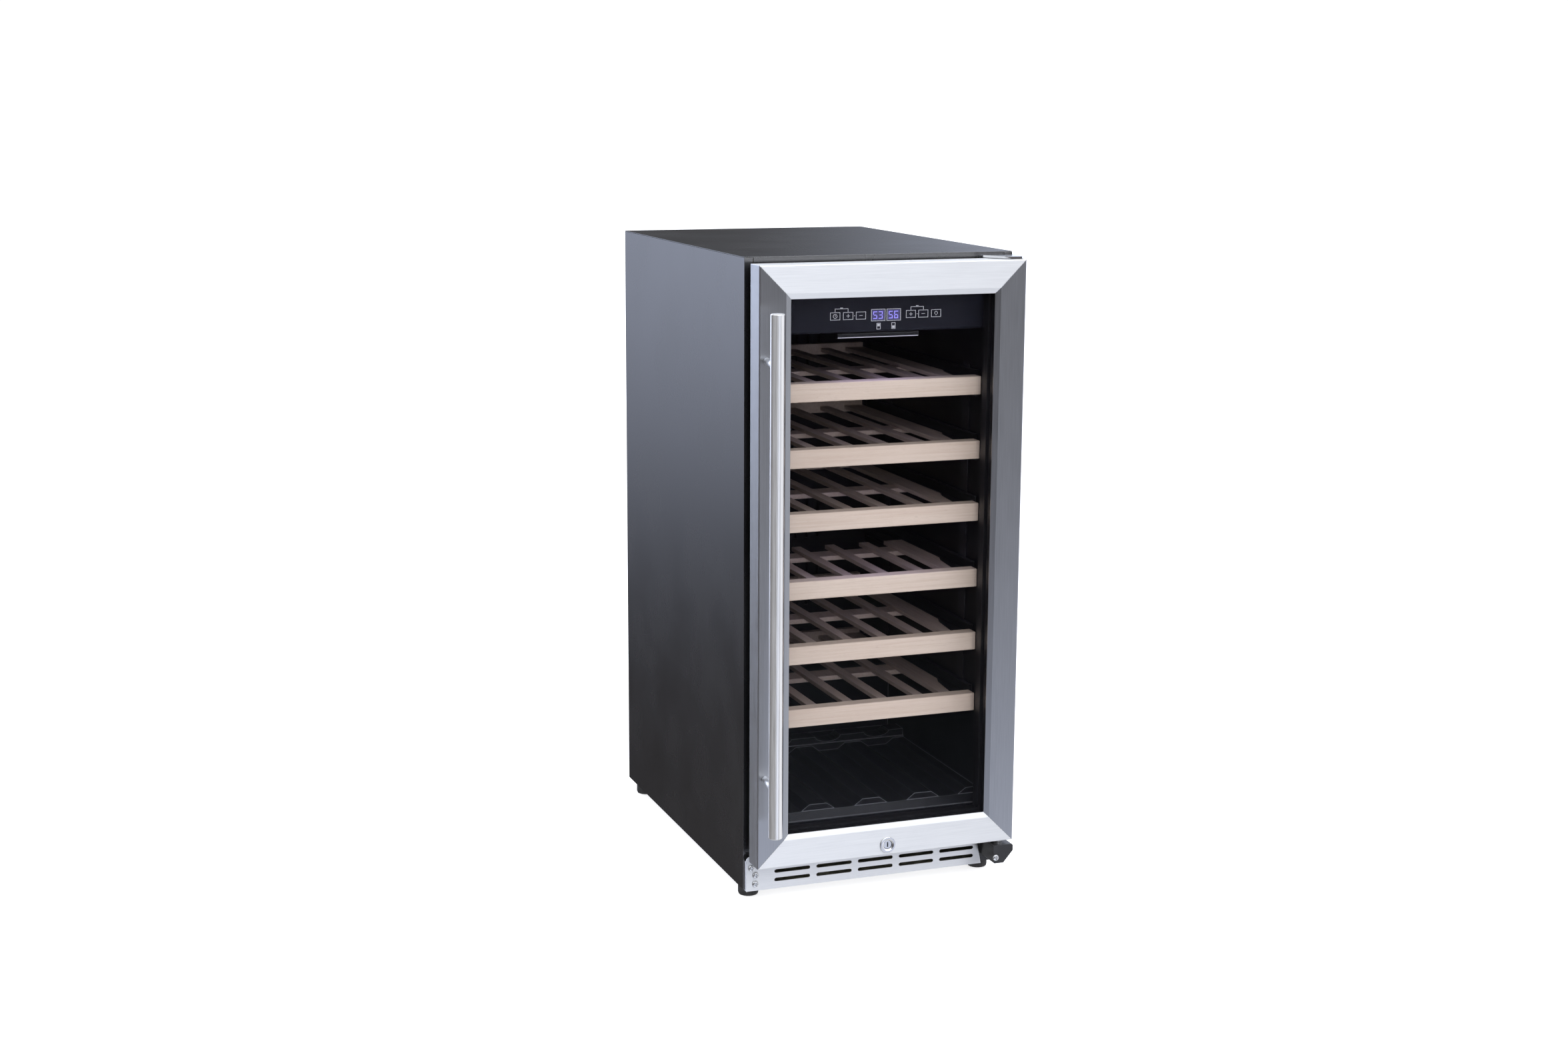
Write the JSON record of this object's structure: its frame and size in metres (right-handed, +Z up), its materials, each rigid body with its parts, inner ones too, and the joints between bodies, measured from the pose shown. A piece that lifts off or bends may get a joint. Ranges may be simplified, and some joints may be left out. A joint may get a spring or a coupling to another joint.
{
  "type": "wine cooler",
  "caption": "Slim wine cooler with a stainless framed glass door, bar handle, key lock, touch panel and slatted beech shelves.",
  "frame": {"origin": "on the floor, under the middle of the closed cooler's bounding box", "axes": "+Z up, the door faces -Y, +X to the right as seen from the front, so the hinges are at +X and the handle at -X"},
  "size_m": [0.38, 0.6374, 0.87],
  "materials": {
    "painted_panels": "satin",
    "stainless": "satin",
    "bright_metal": "polished",
    "zinc_steel": "satin",
    "fin_metal": "satin",
    "black_plastic": "satin",
    "black_rubber": "matte",
    "foam": "matte",
    "glass": "gloss",
    "beech": "satin",
    "panel_film": "gloss",
    "light_diffuser": "matte",
    "black_enamel": "satin"
  },
  "bodies": {
    "cabinet": {"left_side_panel": "painted_panels", "right_side_panel": "painted_panels", "top_panel": "painted_panels", "rear_panel": "zinc_steel", "machine_cover": "zinc_steel", "base_pan": "zinc_steel", "inner_liner": "black_plastic", "foam_insulation": "foam", "kick_plate": "stainless", "kick_plate_screw_1": "zinc_steel", "kick_plate_screw_2": "zinc_steel", "kick_plate_screw_3": "zinc_steel", "top_hinge_plate": "bright_metal", "top_hinge_screw": "bright_metal", "bottom_hinge_bracket": "black_enamel", "bottom_hinge_pin": "bright_metal", "bottom_hinge_screw": "zinc_steel", "control_panel": "panel_film", "light_strip": "light_diffuser", "evaporator_cover": "black_plastic", "evaporator_coil": "fin_metal", "compressor": "black_enamel", "condenser": "fin_metal", "condenser_fan_frame": "black_plastic", "power_inlet": "black_plastic", "left_shelf_rails": "zinc_steel", "right_shelf_rails": "zinc_steel"},
    "door": {"door_frame_top": "stainless", "door_frame_bottom": "stainless", "door_frame_left": "stainless", "door_frame_right": "stainless", "door_inner_frame": "black_plastic", "door_glass_outer": "glass", "door_glass_inner": "glass", "glass_spacer": "black_plastic", "door_gasket": "black_rubber", "handle_bar": "stainless", "handle_post_upper": "stainless", "handle_post_lower": "stainless", "lock_barrel": "bright_metal"},
    "lock": {"lock_plug": "bright_metal", "lock_cam": "zinc_steel"},
    "condenser_fan": {"condenser_fan": "black_plastic"},
    "circulation_fan": {"circulation_fan": "black_plastic"},
    "shelf_1": {"shelf_1_front": "beech", "shelf_1_rack": "beech"},
    "shelf_2": {"shelf_2_front": "beech", "shelf_2_rack": "beech"},
    "shelf_3": {"shelf_3_front": "beech", "shelf_3_rack": "beech"},
    "shelf_4": {"shelf_4_front": "beech", "shelf_4_rack": "beech"},
    "shelf_5": {"shelf_5_front": "beech", "shelf_5_rack": "beech"},
    "shelf_6": {"shelf_6_front": "beech", "shelf_6_rack": "beech"},
    "foot_front_left": {"foot_front_left": "black_rubber"},
    "foot_front_right": {"foot_front_right": "black_rubber"},
    "foot_rear_left": {"foot_rear_left": "black_rubber"},
    "foot_rear_right": {"foot_rear_right": "black_rubber"}
  },
  "joints": [
    {"name": "door_hinge", "type": "hinge", "parent": "cabinet", "child": "door", "pos_m": [0.173, -0.25225, 0.0619], "axis": [0, 0, 1], "range_deg": [0, 110]},
    {"name": "lock_turn", "type": "hinge", "parent": "door", "child": "lock", "pos_m": [0, -0.26925, 0.076], "axis": [0, 1, 0], "range_deg": [0, 90]},
    {"name": "condenser_fan_spin", "type": "hinge", "parent": "cabinet", "child": "condenser_fan", "pos_m": [-0.095, 0.18075, 0.105], "axis": [0, 1, 0], "continuous": true},
    {"name": "circulation_fan_spin", "type": "hinge", "parent": "cabinet", "child": "circulation_fan", "pos_m": [0, 0.22675, 0.56], "axis": [0, 1, 0], "continuous": true},
    {"name": "shelf_1_slide", "type": "slide", "parent": "cabinet", "child": "shelf_1", "axis": [0, -1, 0], "range_m": [0, 0.018]},
    {"name": "shelf_2_slide", "type": "slide", "parent": "cabinet", "child": "shelf_2", "axis": [0, -1, 0], "range_m": [0, 0.018]},
    {"name": "shelf_3_slide", "type": "slide", "parent": "cabinet", "child": "shelf_3", "axis": [0, -1, 0], "range_m": [0, 0.018]},
    {"name": "shelf_4_slide", "type": "slide", "parent": "cabinet", "child": "shelf_4", "axis": [0, -1, 0], "range_m": [0, 0.018]},
    {"name": "shelf_5_slide", "type": "slide", "parent": "cabinet", "child": "shelf_5", "axis": [0, -1, 0], "range_m": [0, 0.018]},
    {"name": "shelf_6_slide", "type": "slide", "parent": "cabinet", "child": "shelf_6", "axis": [0, -1, 0], "range_m": [0, 0.018]},
    {"name": "foot_front_left_screw", "type": "slide", "parent": "cabinet", "child": "foot_front_left", "axis": [0, 0, -1], "range_m": [0, 0.015]},
    {"name": "foot_front_right_screw", "type": "slide", "parent": "cabinet", "child": "foot_front_right", "axis": [0, 0, -1], "range_m": [0, 0.015]},
    {"name": "foot_rear_left_screw", "type": "slide", "parent": "cabinet", "child": "foot_rear_left", "axis": [0, 0, -1], "range_m": [0, 0.015]},
    {"name": "foot_rear_right_screw", "type": "slide", "parent": "cabinet", "child": "foot_rear_right", "axis": [0, 0, -1], "range_m": [0, 0.015]}
  ]
}
